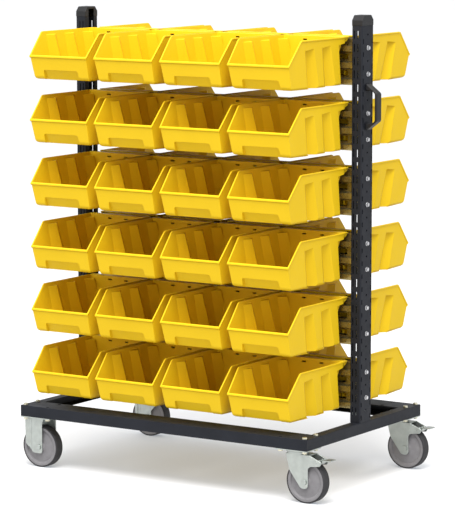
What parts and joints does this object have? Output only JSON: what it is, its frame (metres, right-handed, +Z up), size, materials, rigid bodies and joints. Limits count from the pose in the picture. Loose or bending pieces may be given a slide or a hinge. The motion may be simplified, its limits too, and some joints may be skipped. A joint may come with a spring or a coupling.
{
  "type": "mobile bin cart",
  "caption": "Double-sided mobile rack: castered steel base, slotted uprights and rails carrying rows of hanging open-front plastic bins, with a bridge push handle and braked swivel casters.",
  "frame": {"origin": "on the floor, below the centre of the bounding box", "axes": "+X towards the handle and the swivel casters, +Y towards the rear bins, +Z up"},
  "size_m": [1.0756, 0.684, 1.365],
  "materials": {
    "anthracite_frame": "fine powder coat, satin",
    "black_plastic": "moulded, fine grain",
    "bright_steel": "bright zinc plated",
    "yellow_zinc": "yellow passivated zinc",
    "bright_zinc": "zinc plated pressings",
    "yellow_bin": "moulded polypropylene, semi-gloss",
    "grey_rim": "moulded",
    "grey_tyre": "matt elastic rubber"
  },
  "bodies": {
    "cart": {"base_long_rails": "anthracite_frame", "base_side_rails": "anthracite_frame", "uprights": "anthracite_frame", "upright_caps": "black_plastic", "bin_rails": "bright_zinc", "push_handle": "black_plastic", "handle_screws": "bright_steel", "rail_bolts": "bright_steel", "foot_brackets": "bright_zinc", "foot_bolts": "bright_zinc", "caster_bolts": "yellow_zinc", "fixed_forks": "bright_zinc", "fixed_axles": "bright_zinc", "swivel_top_plates": "bright_zinc", "swivel_ball_races": "bright_zinc", "swivel_kingpins": "bright_zinc"},
    "front_swivel": {"front_swivel_fork": "bright_zinc", "front_swivel_axle": "bright_zinc"},
    "rear_swivel": {"rear_swivel_fork": "bright_zinc", "rear_swivel_axle": "bright_zinc"},
    "front_pedal": {"front_brake_pedal": "bright_zinc"},
    "rear_pedal": {"rear_brake_pedal": "bright_zinc"},
    "front_left_wheel": {"front_left_rim": "grey_rim", "front_left_tyre": "grey_tyre"},
    "front_right_wheel": {"front_right_rim": "grey_rim", "front_right_tyre": "grey_tyre"},
    "rear_left_wheel": {"rear_left_rim": "grey_rim", "rear_left_tyre": "grey_tyre"},
    "rear_right_wheel": {"rear_right_rim": "grey_rim", "rear_right_tyre": "grey_tyre"},
    "front_bin_row_1_col_1_body": {"front_bin_row_1_col_1": "yellow_bin"},
    "front_bin_row_1_col_2_body": {"front_bin_row_1_col_2": "yellow_bin"},
    "front_bin_row_1_col_3_body": {"front_bin_row_1_col_3": "yellow_bin"},
    "front_bin_row_1_col_4_body": {"front_bin_row_1_col_4": "yellow_bin"},
    "front_bin_row_2_col_1_body": {"front_bin_row_2_col_1": "yellow_bin"},
    "front_bin_row_2_col_2_body": {"front_bin_row_2_col_2": "yellow_bin"},
    "front_bin_row_2_col_3_body": {"front_bin_row_2_col_3": "yellow_bin"},
    "front_bin_row_2_col_4_body": {"front_bin_row_2_col_4": "yellow_bin"},
    "front_bin_row_3_col_1_body": {"front_bin_row_3_col_1": "yellow_bin"},
    "front_bin_row_3_col_2_body": {"front_bin_row_3_col_2": "yellow_bin"},
    "front_bin_row_3_col_3_body": {"front_bin_row_3_col_3": "yellow_bin"},
    "front_bin_row_3_col_4_body": {"front_bin_row_3_col_4": "yellow_bin"},
    "front_bin_row_4_col_1_body": {"front_bin_row_4_col_1": "yellow_bin"},
    "front_bin_row_4_col_2_body": {"front_bin_row_4_col_2": "yellow_bin"},
    "front_bin_row_4_col_3_body": {"front_bin_row_4_col_3": "yellow_bin"},
    "front_bin_row_4_col_4_body": {"front_bin_row_4_col_4": "yellow_bin"},
    "front_bin_row_5_col_1_body": {"front_bin_row_5_col_1": "yellow_bin"},
    "front_bin_row_5_col_2_body": {"front_bin_row_5_col_2": "yellow_bin"},
    "front_bin_row_5_col_3_body": {"front_bin_row_5_col_3": "yellow_bin"},
    "front_bin_row_5_col_4_body": {"front_bin_row_5_col_4": "yellow_bin"},
    "front_bin_row_6_col_1_body": {"front_bin_row_6_col_1": "yellow_bin"},
    "front_bin_row_6_col_2_body": {"front_bin_row_6_col_2": "yellow_bin"},
    "front_bin_row_6_col_3_body": {"front_bin_row_6_col_3": "yellow_bin"},
    "front_bin_row_6_col_4_body": {"front_bin_row_6_col_4": "yellow_bin"},
    "rear_bins_row_1_body": {"rear_bins_row_1": "yellow_bin"},
    "rear_bins_row_2_body": {"rear_bins_row_2": "yellow_bin"},
    "rear_bins_row_3_body": {"rear_bins_row_3": "yellow_bin"},
    "rear_bins_row_4_body": {"rear_bins_row_4": "yellow_bin"},
    "rear_bins_row_5_body": {"rear_bins_row_5": "yellow_bin"},
    "rear_bins_row_6_body": {"rear_bins_row_6": "yellow_bin"}
  },
  "joints": [
    {"name": "front_caster_swivel", "type": "hinge", "parent": "cart", "child": "front_swivel", "pos_m": [0.42175, -0.288, 0.141], "axis": [0, 0, 1], "continuous": true},
    {"name": "front_pedal_press", "type": "hinge", "parent": "front_swivel", "child": "front_pedal", "pos_m": [0.49375, -0.288, 0.123], "axis": [0, 1, 0], "range_deg": [0, 12]},
    {"name": "rear_caster_swivel", "type": "hinge", "parent": "cart", "child": "rear_swivel", "pos_m": [0.42175, 0.288, 0.141], "axis": [0, 0, 1], "continuous": true},
    {"name": "rear_pedal_press", "type": "hinge", "parent": "rear_swivel", "child": "rear_pedal", "pos_m": [0.49375, 0.288, 0.123], "axis": [0, 1, 0], "range_deg": [0, 12]},
    {"name": "front_left_wheel_spin", "type": "hinge", "parent": "cart", "child": "front_left_wheel", "pos_m": [-0.47525, -0.288, 0.0625], "axis": [0, 1, 0], "continuous": true},
    {"name": "front_right_wheel_spin", "type": "hinge", "parent": "front_swivel", "child": "front_right_wheel", "pos_m": [0.45525, -0.288, 0.0625], "axis": [0, 1, 0], "continuous": true},
    {"name": "rear_left_wheel_spin", "type": "hinge", "parent": "cart", "child": "rear_left_wheel", "pos_m": [-0.47525, 0.288, 0.0625], "axis": [0, 1, 0], "continuous": true},
    {"name": "rear_right_wheel_spin", "type": "hinge", "parent": "rear_swivel", "child": "rear_right_wheel", "pos_m": [0.45525, 0.288, 0.0625], "axis": [0, 1, 0], "continuous": true},
    {"name": "front_bin_row_1_col_1_lift", "type": "slide", "parent": "cart", "child": "front_bin_row_1_col_1_body", "axis": [0, 0, 1], "range_m": [0, 0.02]},
    {"name": "front_bin_row_1_col_2_lift", "type": "slide", "parent": "cart", "child": "front_bin_row_1_col_2_body", "axis": [0, 0, 1], "range_m": [0, 0.02]},
    {"name": "front_bin_row_1_col_3_lift", "type": "slide", "parent": "cart", "child": "front_bin_row_1_col_3_body", "axis": [0, 0, 1], "range_m": [0, 0.02]},
    {"name": "front_bin_row_1_col_4_lift", "type": "slide", "parent": "cart", "child": "front_bin_row_1_col_4_body", "axis": [0, 0, 1], "range_m": [0, 0.02]},
    {"name": "front_bin_row_2_col_1_lift", "type": "slide", "parent": "cart", "child": "front_bin_row_2_col_1_body", "axis": [0, 0, 1], "range_m": [0, 0.02]},
    {"name": "front_bin_row_2_col_2_lift", "type": "slide", "parent": "cart", "child": "front_bin_row_2_col_2_body", "axis": [0, 0, 1], "range_m": [0, 0.02]},
    {"name": "front_bin_row_2_col_3_lift", "type": "slide", "parent": "cart", "child": "front_bin_row_2_col_3_body", "axis": [0, 0, 1], "range_m": [0, 0.02]},
    {"name": "front_bin_row_2_col_4_lift", "type": "slide", "parent": "cart", "child": "front_bin_row_2_col_4_body", "axis": [0, 0, 1], "range_m": [0, 0.02]},
    {"name": "front_bin_row_3_col_1_lift", "type": "slide", "parent": "cart", "child": "front_bin_row_3_col_1_body", "axis": [0, 0, 1], "range_m": [0, 0.02]},
    {"name": "front_bin_row_3_col_2_lift", "type": "slide", "parent": "cart", "child": "front_bin_row_3_col_2_body", "axis": [0, 0, 1], "range_m": [0, 0.02]},
    {"name": "front_bin_row_3_col_3_lift", "type": "slide", "parent": "cart", "child": "front_bin_row_3_col_3_body", "axis": [0, 0, 1], "range_m": [0, 0.02]},
    {"name": "front_bin_row_3_col_4_lift", "type": "slide", "parent": "cart", "child": "front_bin_row_3_col_4_body", "axis": [0, 0, 1], "range_m": [0, 0.02]},
    {"name": "front_bin_row_4_col_1_lift", "type": "slide", "parent": "cart", "child": "front_bin_row_4_col_1_body", "axis": [0, 0, 1], "range_m": [0, 0.02]},
    {"name": "front_bin_row_4_col_2_lift", "type": "slide", "parent": "cart", "child": "front_bin_row_4_col_2_body", "axis": [0, 0, 1], "range_m": [0, 0.02]},
    {"name": "front_bin_row_4_col_3_lift", "type": "slide", "parent": "cart", "child": "front_bin_row_4_col_3_body", "axis": [0, 0, 1], "range_m": [0, 0.02]},
    {"name": "front_bin_row_4_col_4_lift", "type": "slide", "parent": "cart", "child": "front_bin_row_4_col_4_body", "axis": [0, 0, 1], "range_m": [0, 0.02]},
    {"name": "front_bin_row_5_col_1_lift", "type": "slide", "parent": "cart", "child": "front_bin_row_5_col_1_body", "axis": [0, 0, 1], "range_m": [0, 0.02]},
    {"name": "front_bin_row_5_col_2_lift", "type": "slide", "parent": "cart", "child": "front_bin_row_5_col_2_body", "axis": [0, 0, 1], "range_m": [0, 0.02]},
    {"name": "front_bin_row_5_col_3_lift", "type": "slide", "parent": "cart", "child": "front_bin_row_5_col_3_body", "axis": [0, 0, 1], "range_m": [0, 0.02]},
    {"name": "front_bin_row_5_col_4_lift", "type": "slide", "parent": "cart", "child": "front_bin_row_5_col_4_body", "axis": [0, 0, 1], "range_m": [0, 0.02]},
    {"name": "front_bin_row_6_col_1_lift", "type": "slide", "parent": "cart", "child": "front_bin_row_6_col_1_body", "axis": [0, 0, 1], "range_m": [0, 0.02]},
    {"name": "front_bin_row_6_col_2_lift", "type": "slide", "parent": "cart", "child": "front_bin_row_6_col_2_body", "axis": [0, 0, 1], "range_m": [0, 0.02]},
    {"name": "front_bin_row_6_col_3_lift", "type": "slide", "parent": "cart", "child": "front_bin_row_6_col_3_body", "axis": [0, 0, 1], "range_m": [0, 0.02]},
    {"name": "front_bin_row_6_col_4_lift", "type": "slide", "parent": "cart", "child": "front_bin_row_6_col_4_body", "axis": [0, 0, 1], "range_m": [0, 0.02]},
    {"name": "rear_bins_row_1_lift", "type": "slide", "parent": "cart", "child": "rear_bins_row_1_body", "axis": [0, 0, 1], "range_m": [0, 0.02]},
    {"name": "rear_bins_row_2_lift", "type": "slide", "parent": "cart", "child": "rear_bins_row_2_body", "axis": [0, 0, 1], "range_m": [0, 0.02]},
    {"name": "rear_bins_row_3_lift", "type": "slide", "parent": "cart", "child": "rear_bins_row_3_body", "axis": [0, 0, 1], "range_m": [0, 0.02]},
    {"name": "rear_bins_row_4_lift", "type": "slide", "parent": "cart", "child": "rear_bins_row_4_body", "axis": [0, 0, 1], "range_m": [0, 0.02]},
    {"name": "rear_bins_row_5_lift", "type": "slide", "parent": "cart", "child": "rear_bins_row_5_body", "axis": [0, 0, 1], "range_m": [0, 0.02]},
    {"name": "rear_bins_row_6_lift", "type": "slide", "parent": "cart", "child": "rear_bins_row_6_body", "axis": [0, 0, 1], "range_m": [0, 0.02]}
  ]
}
